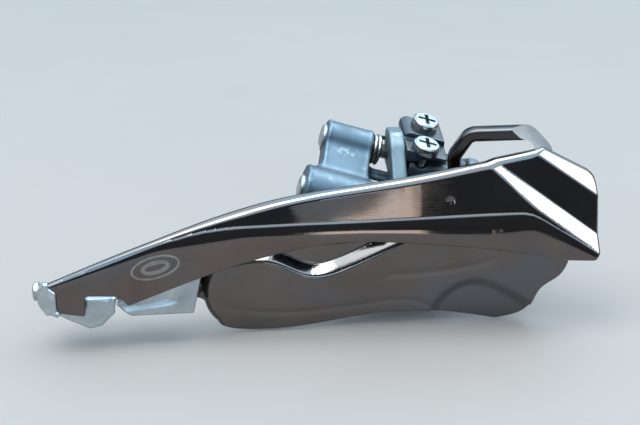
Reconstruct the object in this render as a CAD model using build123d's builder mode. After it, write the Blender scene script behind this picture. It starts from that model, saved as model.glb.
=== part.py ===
from build123d import *
from math import asin, atan2, cos, degrees, radians, sin
import os

# Front derailleur, top-swing type, for a 34.9 mm seat tube. Millimetres.
# +X is forward, +Y points from the chain cage to the bicycle's far side, +Z is up.
# The origin is on the seat tube axis, level with the lower face of the clamp.

# ---------------------------------------------------------------- driving dimensions
# seat tube clamp
tube_r = 17.45
band_t = 2.55
band_height = 14.0
split_gap = 1.5
knuckle_x = -22.5
knuckle_r = 3.2
hinge_pin_r = 1.5
lug_end_x = 27.5
lug_t = 4.0
clamp_bolt_x = 23.4
clamp_bolt_r = 2.4

# linkage: every pivot pin is parallel to pin_dir, nose down by pin_tilt
pin_tilt = 17.0
linkage_z = 27.8
link_length = 16.0
link_lean = 48.0
pin_r = 1.75
bush_r = 2.35
fit = 0.03
lower_outer = (-36.2, 0.0)
inner_offset = (8.8, -2.4)

# chain cage
outer_y = -50.0
outer_t = 1.6
lobe_y = -40.0
base_y = -37.5
inner_t = 1.4
bevel_z = 25.5
bevel_lean = 10.3
cage_bottom = 0.42

# ---------------------------------------------------------------- derived values
pin_dir = Vector(cos(radians(pin_tilt)), 0, -sin(radians(pin_tilt)))
rise_dir = Vector(sin(radians(pin_tilt)), 0, cos(radians(pin_tilt)))
lean_y = link_length * sin(radians(link_lean))
lean_w = link_length * cos(radians(link_lean))
upper_outer = (lower_outer[0] + lean_y, lower_outer[1] + lean_w)
lower_inner = (lower_outer[0] + inner_offset[0], lower_outer[1] + inner_offset[1])
upper_inner = (upper_outer[0] + inner_offset[0], upper_outer[1] + inner_offset[1])
web_angle = degrees(atan2(lean_w, lean_y))


def pin_plane(p):
    """Plane square to the pins, p along them: local x is +Y, local y is the rise direction."""
    return Plane(origin=Vector(0, 0, linkage_z) + pin_dir * p, x_dir=(0, 1, 0), z_dir=pin_dir)


def polar(centre, radius, angle):
    """Point at a radius and an angle (degrees from +Y) about a pivot, in a pin plane."""
    return (centre[0] + radius * cos(radians(angle)), centre[1] + radius * sin(radians(angle)))


def shifted(centre, dy, dw):
    return (centre[0] + dy, centre[1] + dw)


def finish(name, part):
    part.label = name
    export_step(part, f"parts/{name}.step")


os.makedirs("parts", exist_ok=True)

# ---------------------------------------------------------------- outer cage plate
# outline seen from the side, from the tail along the top to the nose and back
outer_top = [(-75.5, 23.2), (-52, 31.6), (-28.8, 37.4), (-5.5, 40.3), (13.3, 43.1), (31.0, 45.8)]
outer_nose = [(42.6, 39.6), (44.4, 36.6), (44.5, 20.9), (43.3, 19.2)]
outer_bottom = [(36.8, 19.6), (19.2, 22.9), (4.0, 24.8), (-8.7, 26.0), (-18.2, 26.2), (-28.9, 25.0)]
outer_belly = [(-40.7, 22.3), (-51.4, 18.9), (-69.7, 12.0)]
tail_notch = [(-71.9, 14.6), (-79.6, 14.9), (-79.9, 9.7), (-86.4, 10.9), (-86.4, 16.2)]
tail_tip = (-88.6, 18.0)
block_x = (-95, 50)
block_z = (-5, 60)
nose_band = Plane(origin=(15.5, -46.8, 42.2), x_dir=(0.844, 0, -0.536), z_dir=(0.367, -0.729, 0.578))
nose_panel = Plane(origin=(20.2, -44.3, 42.3), x_dir=(0.937, 0, -0.350), z_dir=(0.072, -0.979, 0.193))
nose_lip = Plane(origin=(30.2, -43.3, 43.7), x_dir=(0.853, 0, -0.522), z_dir=(0.357, -0.729, 0.584))
bevel = Plane(
    origin=(0, outer_y, bevel_z),
    x_dir=(1, 0, 0),
    z_dir=(0, -cos(radians(bevel_lean)), sin(radians(bevel_lean))),
)


def inboard(plane, distance):
    """The same plane moved inboard."""
    return Plane(origin=plane.origin + Vector(0, distance, 0), x_dir=plane.x_dir, z_dir=plane.z_dir)


def facet_body(offset):
    """Everything inboard of the plate's facets, moved inboard by offset."""
    size_x = block_x[1] - block_x[0]
    size_z = block_z[1] - block_z[0]
    with BuildPart() as nose:
        with BuildSketch(Plane.XZ.offset(-outer_y)):
            with Locations((block_x[0] + size_x / 2, block_z[0] + size_z / 2)):
                Rectangle(size_x, size_z)
        extrude(amount=-20)
        split(bisect_by=nose_panel, keep=Keep.BOTTOM)
        split(bisect_by=nose_lip, keep=Keep.BOTTOM)
    with BuildPart() as body:
        with BuildSketch(Plane.XZ.offset(-outer_y)):
            with Locations((block_x[0] + size_x / 2, block_z[0] + size_z / 2)):
                Rectangle(size_x, size_z)
        extrude(amount=-20)
        split(bisect_by=nose_band, keep=Keep.BOTTOM)
        add(nose.part)
        split(bisect_by=bevel, keep=Keep.BOTTOM)
    return body.part.translate((0, offset, 0))


facets = facet_body(0)
facets_inner = facet_body(outer_t)
with BuildPart() as outer_plate:
    with BuildSketch(Plane.XZ.offset(-outer_y + 2)):
        with BuildLine():
            Spline(tail_tip, *outer_top)
            Polyline(outer_top[-1], outer_nose[0])
            ThreePointArc(outer_nose[0], (43.9, 38.3), outer_nose[1])
            Polyline(*outer_nose[1:], outer_bottom[0])
            Spline(*outer_bottom, *outer_belly)
            Polyline(outer_belly[-1], *tail_notch, tail_tip)
        make_face()
    extrude(amount=-20)
    add(facets, mode=Mode.INTERSECT)
    add(facets_inner, mode=Mode.SUBTRACT)
finish("outer_plate", outer_plate.part)

# ---------------------------------------------------------------- inner cage plate
# a flat upper web, and a deep pressed lobe that stands out from it towards the outer plate
bracket_rivets_at = [(1.4, 31.2), (5.6, 30.0), (9.8, 31.2)]
rivet_r = 1.0
lobe_left = [(-50.2, 17.0), (-51.8, 12.5), (-51.6, 7.0), (-48.5, 2.2), (-41.0, cage_bottom)]
lobe_sole = [(-41.0, cage_bottom), (-28.3, 0.6), (-8.1, 3.4), (7.2, 2.9), (21.5, cage_bottom)]
lobe_nose = [(21.5, cage_bottom), (30.3, 3.7), (32.6, 8.2), (37.3, 11.7), (40.0, 17.5)]
lobe_crown = [
    (-50.2, 17.0), (-44.5, 18.8), (-34.3, 18.9), (-25.7, 15.2), (-16.5, 17.2), (-7.0, 21.6), (4.0, 26.5),
]
front_top = (38.0, 30.0)
with BuildPart() as inner_plate:
    with BuildSketch(Plane.XZ.offset(-base_y)):
        with BuildLine():
            Spline(*lobe_crown)
            Polyline((4.0, 26.5), front_top, (37.6, 33.0), (31.0, 42.5), (13.0, 39.2), (-6.3, 35.6))
            Polyline((-6.3, 35.6), (-10.4, 22.0), (-45.0, 20.0), (-60.0, 18.0), (-86.0, 13.2), (-86.0, 9.5))
            Polyline((-86.0, 9.5), (-70.0, 8.0), (-50.8, 8.0), (-50.8, 14.0), (-50.2, 17.0))
        make_face()
        with Locations(*bracket_rivets_at):
            Circle(rivet_r, mode=Mode.SUBTRACT)
    extrude(amount=-inner_t)
    with BuildSketch(Plane.XZ.offset(-lobe_y)):
        with BuildLine():
            Spline(*lobe_left, *lobe_sole[1:])
            Spline(*lobe_nose)
            Polyline((40.0, 17.5), front_top, (4.0, 26.5))
            Spline(*lobe_crown)
        make_face()
    extrude(amount=lobe_y - base_y - inner_t)
    with BuildSketch(Plane.XZ.offset(-lobe_y - inner_t)):
        with BuildLine():
            Polyline((-48.8, 15.6), (-50.4, 12.0), (-50.2, 7.0), (-48.0, 3.0), (-46.0, -2.0), (24.0, -2.0))
            Polyline((24.0, -2.0), (44.0, 14.0), (42.0, 28.6), (5.0, 25.0), (-6.2, 20.0), (-16.0, 15.6))
            Polyline((-16.0, 15.6), (-25.7, 13.6), (-34.0, 17.2), (-44.0, 17.2), (-48.8, 15.6))
        make_face()
    extrude(amount=lobe_y - base_y, mode=Mode.SUBTRACT)
    crown_edges = inner_plate.edges().filter_by_position(Axis.Y, lobe_y - 0.01, lobe_y + 0.01)
    fillet(crown_edges.filter_by(lambda edge: edge.center().Z > 14 and edge.center().X < 0), radius=0.6)
finish("inner_plate", inner_plate.part)

# ---------------------------------------------------------------- cage bracket and its rivets
ear_x = (-4.9, -1.0)
front_ear_p = (12.5, 15.5)
flange_t = 2.2
flange_y = base_y + inner_t
with BuildPart() as cage_bracket:
    with BuildSketch(Plane.XZ.offset(-flange_y)):
        with BuildLine():
            Polyline((-8.2, 25.0), (-6.0, 34.4), (16.5, 38.6), (19.0, 35.0), (16.5, 23.5), (-8.2, 25.0))
        make_face()
    extrude(amount=-flange_t)
    with BuildSketch(Plane.YZ.offset(ear_x[0])):
        with BuildLine():
            Polyline((flange_y, 27.0), (flange_y, 35.5), (-30.5, 44.0), (-27.6, 46.6), (-21.6, 46.6))
            Polyline((-21.6, 46.6), (-19.9, 42.0), (-20.6, 37.4), (-26.8, 35.6))
            Polyline((-26.8, 35.6), (-33.0, 28.0), (flange_y, 27.0))
        make_face()
        fillet(vertices().filter_by_position(Axis.X, -31, -20).group_by(Axis.Y)[-1], radius=1.6)
    extrude(amount=ear_x[1] - ear_x[0])
    with BuildSketch(pin_plane(front_ear_p[0])):
        with Locations(upper_outer):
            Circle(4.2)
        with Locations(upper_inner):
            Circle(3.6)
        with BuildLine():
            Polyline(
                (flange_y, 2.5), (flange_y, 9.0), shifted(upper_outer, 0.5, 4.1),
                shifted(upper_inner, 0.6, 3.5), shifted(upper_inner, -1.0, -3.4),
                shifted(upper_outer, 0, -4.1), (flange_y, 2.5),
            )
        make_face()
    extrude(amount=front_ear_p[1] - front_ear_p[0])
    with BuildSketch(pin_plane(-15)):
        with Locations(upper_outer, upper_inner):
            Circle(pin_r + fit)
    extrude(amount=40, mode=Mode.SUBTRACT)
    with BuildSketch(Plane.XZ.offset(-base_y)):
        with Locations(*bracket_rivets_at):
            Circle(rivet_r)
    extrude(amount=-10, mode=Mode.SUBTRACT)
finish("cage_bracket", cage_bracket.part)

with BuildPart() as bracket_rivets:
    with BuildSketch(Plane.XZ.offset(-base_y)):
        with Locations(*bracket_rivets_at):
            Circle(rivet_r)
    extrude(amount=-(inner_t + flange_t))
    with BuildSketch(Plane.XZ.offset(-flange_y - flange_t)):
        with Locations(*bracket_rivets_at):
            Circle(2 * rivet_r)
    extrude(amount=-0.9)
finish("bracket_rivets", bracket_rivets.part)

# ---------------------------------------------------------------- bridge loop
# strap in an upright plane that runs from the inner plate out to the outer plate
loop_turn = -12.0
loop_start = (8.6, -35.0)
loop_depth = 4.2
loop_width = 3.3
loop_route = [(2.2, 35.4), (1.6, 42.5), (5.2, 48.2), (20.4, 49.2), (23.6, 44.6), (25.2, 38.0)]
hook_z = 39.1
loop_plane = Plane(
    origin=(loop_start[0], loop_start[1], 0),
    x_dir=(cos(radians(loop_turn)), sin(radians(loop_turn)), 0),
    z_dir=(sin(radians(loop_turn)), -cos(radians(loop_turn)), 0),
)
with BuildPart() as bridge_loop:
    with BuildSketch(loop_plane.offset(-loop_depth / 2)):
        with BuildLine():
            FilletPolyline(*loop_route, radius=3.0)
        trace(line_width=loop_width)
    extrude(amount=loop_depth)
    fillet(bridge_loop.faces().filter_by(Axis((0, 0, 0), loop_plane.z_dir)).edges(), radius=1.1)
    # the rear leg hooks over the inner plate, the front leg ends on the outer plate's inner face
    with BuildSketch(Plane.YZ):
        with Locations(((flange_y + flange_t - 50) / 2, hook_z - 10)):
            Rectangle(50 + flange_y + flange_t, 20)
    extrude(amount=20, mode=Mode.SUBTRACT)
    for facet in (bevel, nose_panel, nose_lip):
        split(bisect_by=inboard(facet, outer_t), keep=Keep.BOTTOM)
finish("bridge_loop", bridge_loop.part)

# ---------------------------------------------------------------- stop block and limit screws
block_end_x = 9.6
screw_tilt = 15.0
screw_p = -0.6
head_r = 3.4
head_t = 2.4
screw_r = 1.9
screw_length = 9.2
low_seat = shifted(upper_outer, -5.7, 4.4)
high_seat = shifted(upper_outer, 2.5, 8.3)
horn_centre = shifted(upper_outer, -2.9, -1.7)
horn_p = (-3.4, 12.2)
horn_r = (4.4, 3.0)
finger_r = (4.9, 7.6)
finger_end_p = 3.2
sweep_gap = 0.3
sweep_ends = (3.0, 0.4)
corner_r = 1.8


def screw_plane(seat):
    """Plane under a limit screw's head, with its normal out of the head."""
    origin = pin_plane(screw_p).from_local_coords((seat[0], seat[1], 0))
    normal = Vector(0, -sin(radians(screw_tilt)), 0) + rise_dir * cos(radians(screw_tilt))
    return Plane(origin=origin, x_dir=pin_dir, z_dir=normal)


with BuildPart() as stop_block:
    with BuildSketch(Plane.YZ.offset(ear_x[1])):
        with BuildLine():
            Polyline((-31.8, 40.4), (-31.8, 52.0), (-18.3, 52.0), (-18.3, 38.4), (-24.0, 36.0))
            Line((-24.0, 36.0), (-31.8, 40.4))
        make_face()
    extrude(amount=block_end_x - ear_x[1])
    # sleeve round the upper outer pin, then the horn that guards the low screw
    for centre, radii in ((upper_outer, (4.5, 3.2)), (horn_centre, horn_r)):
        for p, radius in zip(horn_p, radii):
            with BuildSketch(pin_plane(p)):
                with Locations(centre):
                    Circle(radius)
        loft()
    with BuildSketch(pin_plane(horn_p[0] - sweep_ends[0])):
        with BuildLine():
            Polyline(
                upper_outer, polar(upper_outer, 9, 243), polar(upper_outer, 12, 270),
                polar(upper_outer, 12, 300), polar(upper_outer, 9, 345), upper_outer,
            )
        make_face()
        with Locations(upper_outer):
            Circle(finger_r[0] - sweep_gap, mode=Mode.SUBTRACT)
    extrude(amount=finger_end_p - horn_p[0] + sum(sweep_ends), mode=Mode.SUBTRACT)
    with BuildSketch(pin_plane(-14)):
        with Locations(upper_outer):
            Circle(pin_r + fit)
    extrude(amount=30, mode=Mode.SUBTRACT)
    with BuildSketch(Plane.YZ.offset(ear_x[1])):
        Rectangle(100, 200)
    extrude(amount=-10, mode=Mode.SUBTRACT)
    # stepped top, square to the screws
    with BuildSketch(screw_plane(high_seat)):
        Rectangle(60, 60)
    extrude(amount=12, mode=Mode.SUBTRACT)
    seat_axis = Axis((0, 0, 0), screw_plane(high_seat).z_dir)
    top_edges = stop_block.faces().filter_by(seat_axis).sort_by(Axis.Z)[-1].edges()
    fillet(top_edges.sort_by(Axis.X)[0], radius=corner_r)
    with BuildSketch(screw_plane(low_seat)):
        with Locations((0, head_r + 0.7 - 15)):
            Rectangle(60, 30)
    extrude(amount=12, mode=Mode.SUBTRACT)
    for seat in (low_seat, high_seat):
        with BuildSketch(screw_plane(seat)):
            Circle(screw_r + 0.08)
        extrude(amount=-20, mode=Mode.SUBTRACT)
finish("stop_block", stop_block.part)

for name, seat in (("low_limit_screw", low_seat), ("high_limit_screw", high_seat)):
    with BuildPart() as limit_screw:
        with BuildSketch(screw_plane(seat)):
            Circle(head_r)
        extrude(amount=head_t)
        chamfer(limit_screw.faces().sort_by(Axis.Z)[-1].edges(), 0.5)
        with BuildSketch(screw_plane(seat).offset(head_t)):
            Rectangle(4.6, 1.0)
            Rectangle(1.0, 4.6)
        extrude(amount=-1.3, mode=Mode.SUBTRACT)
        with BuildSketch(screw_plane(seat)):
            Circle(screw_r)
        extrude(amount=-screw_length)
    finish(name, limit_screw.part)

# ---------------------------------------------------------------- outer link
upper_barrel_p = (-24.8, -13.0)
lower_barrel_p = (-28.4, -11.6)
upper_barrel_r = 4.2
lower_barrel_r = 5.6
boss_p = (-22.0, -16.0)
boss_r = 3.5
boss_arm_angle = 327.0
boss_arm_t = 3.6
pocket_gap = 0.35
finger_angles = (247, 271)
with BuildPart() as outer_link:
    with BuildSketch(pin_plane(lower_barrel_p[0])):
        with Locations(lower_outer):
            Circle(lower_barrel_r)
    extrude(amount=lower_barrel_p[1] - lower_barrel_p[0])
    with BuildSketch(pin_plane(upper_barrel_p[0])):
        with Locations(upper_outer):
            Circle(upper_barrel_r)
        with Locations(polar(lower_outer, link_length / 2, web_angle)):
            Rectangle(link_length, 5.6, rotation=web_angle)
    extrude(amount=upper_barrel_p[1] - upper_barrel_p[0])
    with BuildSketch(pin_plane(upper_barrel_p[1] - 5)):
        with BuildLine():
            inner_arc = ThreePointArc(
                polar(upper_outer, finger_r[0], finger_angles[0]),
                polar(upper_outer, finger_r[0], sum(finger_angles) / 2),
                polar(upper_outer, finger_r[0], finger_angles[1]),
            )
            outer_arc = ThreePointArc(
                polar(upper_outer, finger_r[1], finger_angles[0]),
                polar(upper_outer, finger_r[1], sum(finger_angles) / 2),
                polar(upper_outer, finger_r[1], finger_angles[1]),
            )
            Line(inner_arc @ 0, outer_arc @ 0)
            Line(inner_arc @ 1, outer_arc @ 1)
        make_face()
    extrude(amount=finger_end_p - upper_barrel_p[1] + 5)
    # pocket for the mount body's boss, and the slot that its arm sweeps
    with BuildSketch(pin_plane(boss_p[0] - pocket_gap)):
        with Locations(lower_outer):
            Circle(boss_r + pocket_gap)
        with BuildLine():
            Polyline(
                lower_outer, polar(lower_outer, 9, 226), polar(lower_outer, 11, 260),
                polar(lower_outer, 11, 300), polar(lower_outer, 11, 330), polar(lower_outer, 9, 357),
                lower_outer,
            )
        make_face()
    extrude(amount=boss_p[1] - boss_p[0] + 2 * pocket_gap, mode=Mode.SUBTRACT)
    with BuildSketch(pin_plane(-40)):
        with Locations(lower_outer, upper_outer):
            Circle(bush_r)
    extrude(amount=30, mode=Mode.SUBTRACT)
finish("outer_link", outer_link.part)

bush_length = 4.0
bush_spots = [
    (upper_outer, upper_barrel_p[0]), (upper_outer, upper_barrel_p[1] - bush_length),
    (lower_outer, lower_barrel_p[0]), (lower_outer, lower_barrel_p[1] - bush_length),
]
with BuildPart() as outer_link_bushes:
    for centre, start in bush_spots:
        with BuildSketch(pin_plane(start)):
            with Locations(centre):
                Circle(bush_r)
                Circle(pin_r + fit, mode=Mode.SUBTRACT)
        extrude(amount=bush_length)
finish("outer_link_bushes", outer_link_bushes.part)

# ---------------------------------------------------------------- return spring
spring_wire_r = 0.5
spring_r = 3.4
spring_turns = 2
spring_p = (-12.3, -10.15)
spring_plane = pin_plane(spring_p[0])
with BuildPart() as return_spring:
    with BuildLine() as coil:
        Helix(
            pitch=(spring_p[1] - spring_p[0]) / spring_turns,
            height=spring_p[1] - spring_p[0],
            radius=spring_r,
            center=spring_plane.from_local_coords((upper_outer[0], upper_outer[1], 0)),
            direction=pin_dir,
        )
    with BuildSketch(Plane(origin=coil.line @ 0, z_dir=coil.line % 0)):
        Circle(spring_wire_r)
    sweep(is_frenet=True)
finish("return_spring", return_spring.part)

# ---------------------------------------------------------------- inner link
inner_link_p = (16.0, 24.0)
arm_p = (17.6, 21.0)
arm_length = 15.0
arm_angle = 8.0
anchor = polar(lower_inner, arm_length, arm_angle)
anchor_r = 5.0
anchor_hole_r = 2.6
with BuildPart() as inner_link:
    with BuildSketch(pin_plane(inner_link_p[0])):
        with Locations(lower_inner):
            Circle(4.0)
        with Locations(upper_inner):
            Circle(3.7)
        with Locations(polar(lower_inner, link_length / 2, web_angle)):
            Rectangle(link_length, 4.6, rotation=web_angle)
    extrude(amount=inner_link_p[1] - inner_link_p[0])
    with BuildSketch(pin_plane(arm_p[0])):
        with Locations(polar(lower_inner, arm_length / 2, arm_angle)):
            Rectangle(arm_length, 6.4, rotation=arm_angle)
        with Locations(anchor):
            Circle(anchor_r)
    extrude(amount=arm_p[1] - arm_p[0])
    with BuildSketch(pin_plane(inner_link_p[0])):
        with Locations(lower_inner, upper_inner):
            Circle(bush_r)
        with Locations(anchor):
            Circle(anchor_hole_r)
    extrude(amount=inner_link_p[1] - inner_link_p[0], mode=Mode.SUBTRACT)
finish("inner_link", inner_link.part)

with BuildPart() as inner_link_bushes:
    with BuildSketch(pin_plane(inner_link_p[0])):
        with Locations(lower_inner, upper_inner):
            Circle(bush_r)
            Circle(pin_r + fit, mode=Mode.SUBTRACT)
    extrude(amount=inner_link_p[1] - inner_link_p[0])
finish("inner_link_bushes", inner_link_bushes.part)

cable_washer_t = 0.9
with BuildPart() as cable_washer:
    with BuildSketch(pin_plane(arm_p[1])):
        with Locations(anchor):
            Circle(4.4)
            Circle(2.55, mode=Mode.SUBTRACT)
    extrude(amount=cable_washer_t)
finish("cable_washer", cable_washer.part)

with BuildPart() as cable_bolt:
    with BuildSketch(pin_plane(arm_p[1] + cable_washer_t)):
        with Locations(anchor):
            RegularPolygon(radius=4.2, side_count=6)
    extrude(amount=3.2)
    with BuildSketch(pin_plane(arm_p[1] + cable_washer_t + 3.2)):
        with Locations(anchor):
            RegularPolygon(radius=2.1, side_count=6)
    extrude(amount=-2.2, mode=Mode.SUBTRACT)
    with BuildSketch(pin_plane(arm_p[0] - 1.4)):
        with Locations(anchor):
            Circle(2.5)
    extrude(amount=arm_p[1] + cable_washer_t - arm_p[0] + 1.4)
finish("cable_bolt", cable_bolt.part)

# ---------------------------------------------------------------- pins and clips
pin_head_r = 2.9
pin_head_t = 0.9
pin_spans = {
    "upper_outer_pin": (upper_outer, upper_barrel_p[0], front_ear_p[1] + 1.6),
    "upper_inner_pin": (upper_inner, front_ear_p[0] - 0.2, inner_link_p[1] + 1.6),
    "lower_outer_pin": (lower_outer, lower_barrel_p[0], lower_barrel_p[1] + 0.5),
    "lower_inner_pin": (lower_inner, front_ear_p[0] - 0.2, inner_link_p[1] + 1.6),
}
for name, (centre, start, end) in pin_spans.items():
    with BuildPart() as pin:
        with BuildSketch(pin_plane(start)):
            with Locations(centre):
                Circle(pin_r)
        extrude(amount=end - start)
        if name.endswith("outer_pin"):
            with BuildSketch(pin_plane(start)):
                with Locations(centre):
                    Circle(pin_head_r)
            extrude(amount=-pin_head_t)
            chamfer(pin.faces().sort_by(Axis.X)[0].edges(), 0.35)
    finish(name, pin.part)

clip_groups = {
    "cage_pin_clips": [(upper_outer, front_ear_p[1]), (upper_inner, inner_link_p[1])],
    "mount_pin_clip": [(lower_inner, inner_link_p[1])],
}
for name, spots in clip_groups.items():
    with BuildPart() as clips:
        for centre, start in spots:
            with BuildSketch(pin_plane(start + 0.15)):
                with Locations(centre):
                    Circle(pin_r + 1.4)
                    Circle(pin_r, mode=Mode.SUBTRACT)
            extrude(amount=0.8)
    finish(name, clips.part)

# ---------------------------------------------------------------- mount body
band_r = tube_r + band_t
slab_y = (-23.2, -19.4)
boss_arm_length = 17.0
lower_boss_p = (12.5, 15.5)
knuckle_z = (4.0, 10.0)
knuckle_gap = 0.2


def clamp_half(side):
    """Half ring with its lug, on the side of -Y (side=-1) or +Y (side=1)."""
    with BuildPart() as half:
        with BuildSketch() as ring:
            Circle(band_r)
            with Locations(((clamp_bolt_x - 6 + lug_end_x) / 2 - 0.5, side * (split_gap / 2 + lug_t / 2))):
                Rectangle(lug_end_x - clamp_bolt_x + 7, lug_t)
            Circle(tube_r, mode=Mode.SUBTRACT)
            with Locations((0, side * (split_gap / 2 - 50))):
                Rectangle(100, 100, mode=Mode.SUBTRACT)
        extrude(amount=band_height)
    return half.part


with BuildPart() as mount_body:
    add(clamp_half(-1))
    for low, high in ((0, knuckle_z[0]), (knuckle_z[1], band_height)):
        with BuildSketch(Plane.XY.offset(low)):
            with Locations((knuckle_x, 0)):
                Circle(knuckle_r)
            with Locations((-20.6, -2.2)):
                Rectangle(3.6, 3.6)
        extrude(amount=high - low)
    with BuildSketch(Plane.XZ.offset(-slab_y[0])):
        with BuildLine():
            Polyline((-13.0, 0), (8.0, 0), (15.6, 25.4), (2.0, 25.8), (-24.6, 34.0), (-25.6, 22.0))
            Line((-25.6, 22.0), (-13.0, 0))
        make_face()
    extrude(amount=slab_y[0] - slab_y[1])
    with BuildSketch(Plane.XZ.offset(-slab_y[1])):
        with Locations((0, band_height / 2)):
            Rectangle(22, band_height)
    extrude(amount=-8)
    with BuildSketch(pin_plane(boss_p[0])):
        with Locations(lower_outer):
            Circle(boss_r)
        with Locations(polar(lower_outer, boss_arm_length / 2, boss_arm_angle)):
            Rectangle(boss_arm_length, boss_arm_t, rotation=boss_arm_angle)
    extrude(amount=boss_p[1] - boss_p[0])
    with BuildSketch(pin_plane(lower_boss_p[0])):
        with Locations(lower_inner):
            Circle(4.0)
        with Locations(shifted(lower_inner, 2.8, -0.6)):
            Rectangle(5.6, 6.4)
    extrude(amount=lower_boss_p[1] - lower_boss_p[0])
    with BuildSketch():
        Circle(tube_r)
    extrude(amount=60, mode=Mode.SUBTRACT)
    with BuildSketch(pin_plane(-40)):
        with Locations(lower_outer):
            Circle(pin_r)
    extrude(amount=28, mode=Mode.SUBTRACT)
    with BuildSketch(pin_plane(lower_boss_p[0] - 0.2)):
        with Locations(lower_inner):
            Circle(pin_r)
    extrude(amount=8, mode=Mode.SUBTRACT)
    with BuildSketch(Plane.XY.offset(knuckle_z[0])):
        with Locations((knuckle_x, 0)):
            Circle(knuckle_r + 0.25)
    extrude(amount=knuckle_z[1] - knuckle_z[0], mode=Mode.SUBTRACT)
    with BuildSketch():
        with Locations((knuckle_x, 0)):
            Circle(hinge_pin_r)
    extrude(amount=band_height, mode=Mode.SUBTRACT)
    with BuildSketch(Plane.XZ):
        with Locations((clamp_bolt_x, band_height / 2)):
            Circle(clamp_bolt_r + 0.06)
    extrude(amount=20, both=True, mode=Mode.SUBTRACT)
finish("mount_body", mount_body.part)

with BuildPart() as clamp_band:
    add(clamp_half(1))
    with BuildSketch(Plane.XY.offset(knuckle_z[0] + knuckle_gap)):
        with Locations((knuckle_x, 0)):
            Circle(knuckle_r)
        with Locations((-20.6, 2.2)):
            Rectangle(3.6, 3.6)
    extrude(amount=knuckle_z[1] - knuckle_z[0] - 2 * knuckle_gap)
    for low, high in ((0, knuckle_z[0]), (knuckle_z[1], band_height)):
        with BuildSketch(Plane.XY.offset(low)):
            with Locations((knuckle_x, 0)):
                Circle(knuckle_r + 0.25)
        extrude(amount=high - low, mode=Mode.SUBTRACT)
    with BuildSketch():
        with Locations((knuckle_x, 0)):
            Circle(hinge_pin_r + 0.05)
    extrude(amount=band_height, mode=Mode.SUBTRACT)
    with BuildSketch(Plane.XZ):
        with Locations((clamp_bolt_x, band_height / 2)):
            Circle(clamp_bolt_r + 0.06)
    extrude(amount=20, both=True, mode=Mode.SUBTRACT)
finish("clamp_band", clamp_band.part)

with BuildPart() as clamp_hinge_pin:
    with BuildSketch():
        with Locations((knuckle_x, 0)):
            Circle(hinge_pin_r)
    extrude(amount=band_height)
finish("clamp_hinge_pin", clamp_hinge_pin.part)

lug_face = split_gap / 2 + lug_t
washer_t = 1.0
with BuildPart() as clamp_washer:
    with BuildSketch(Plane.XZ.offset(-lug_face)):
        with Locations((clamp_bolt_x, band_height / 2)):
            Circle(3.9)
            Circle(clamp_bolt_r + 0.06, mode=Mode.SUBTRACT)
    extrude(amount=-washer_t)
finish("clamp_washer", clamp_washer.part)

with BuildPart() as clamp_bolt:
    with BuildSketch(Plane.XZ.offset(-lug_face - washer_t)):
        with Locations((clamp_bolt_x, band_height / 2)):
            Circle(3.8)
    extrude(amount=-4.6)
    fillet(clamp_bolt.faces().sort_by(Axis.Y)[-1].edges(), 0.6)
    with BuildSketch(Plane.XZ.offset(-lug_face - washer_t - 4.6)):
        with Locations((clamp_bolt_x, band_height / 2)):
            RegularPolygon(radius=2.3, side_count=6)
    extrude(amount=2.6, mode=Mode.SUBTRACT)
    with BuildSketch(Plane.XZ.offset(-lug_face - washer_t)):
        with Locations((clamp_bolt_x, band_height / 2)):
            Circle(clamp_bolt_r)
    extrude(amount=2 * lug_face + washer_t)
finish("clamp_bolt", clamp_bolt.part)

# ---------------------------------------------------------------- tail of the cage
with BuildPart() as tail_bridge:
    # wrap that closes the cage behind both plates, lower at the inner plate
    with BuildSketch(Plane.XZ.offset(-outer_y)):
        with BuildLine():
            Polyline((-90.8, 13.0), (-90.8, 16.4), (-88.6, 18.4), (-86.0, 17.4), (-86.0, 10.2))
            Polyline((-86.0, 10.2), (-88.8, 10.6), (-90.8, 13.0))
        make_face()
    extrude(amount=outer_y - base_y)
    fillet(tail_bridge.edges().filter_by(Axis.Z).group_by(Axis.X)[0].sort_by(Axis.Y)[0], radius=1.6)
    split(bisect_by=Plane(origin=(-88, -49.4, 18.6), z_dir=(0, 0.4, 1)), keep=Keep.BOTTOM)
    # jaw under the outer plate's tab, with a block that stands in its notch
    with BuildSketch(Plane.XZ.offset(-outer_y - outer_t)):
        with BuildLine():
            Polyline((-87.0, 11.2), (-86.6, 10.0), (-83.0, 7.9), (-79.0, 6.0), (-76.4, 6.6), (-73.2, 9.6))
            Polyline((-73.2, 9.6), (-72.8, 13.4), (-79.6, 13.6), (-80.2, 11.2), (-86.0, 12.6), (-87.0, 11.2))
        make_face()
    extrude(amount=-9.0)
    add(outer_plate.part, mode=Mode.SUBTRACT)
finish("tail_bridge", tail_bridge.part)

with BuildPart() as tail_screw:
    with BuildSketch(Plane.YZ.offset(-90.8)):
        with Locations((-44.6, 14.6)):
            Circle(2.3)
    extrude(amount=-1.4)
    fillet(tail_screw.faces().sort_by(Axis.X)[0].edges(), 0.6)
finish("tail_screw", tail_screw.part)

with BuildPart() as tail_insert:
    with BuildSketch(Plane.XZ.offset(-outer_y - 5.0)):
        with BuildLine():
            Polyline((-72.8, 9.8), (-69.4, 7.2), (-54.4, 7.2), (-52.4, 16.4), (-60.0, 16.4), (-72.8, 9.8))
        make_face()
    extrude(amount=-7.5)
finish("tail_insert", tail_insert.part)
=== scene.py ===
import math

import bpy
import numpy as np
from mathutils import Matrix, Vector, geometry


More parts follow.
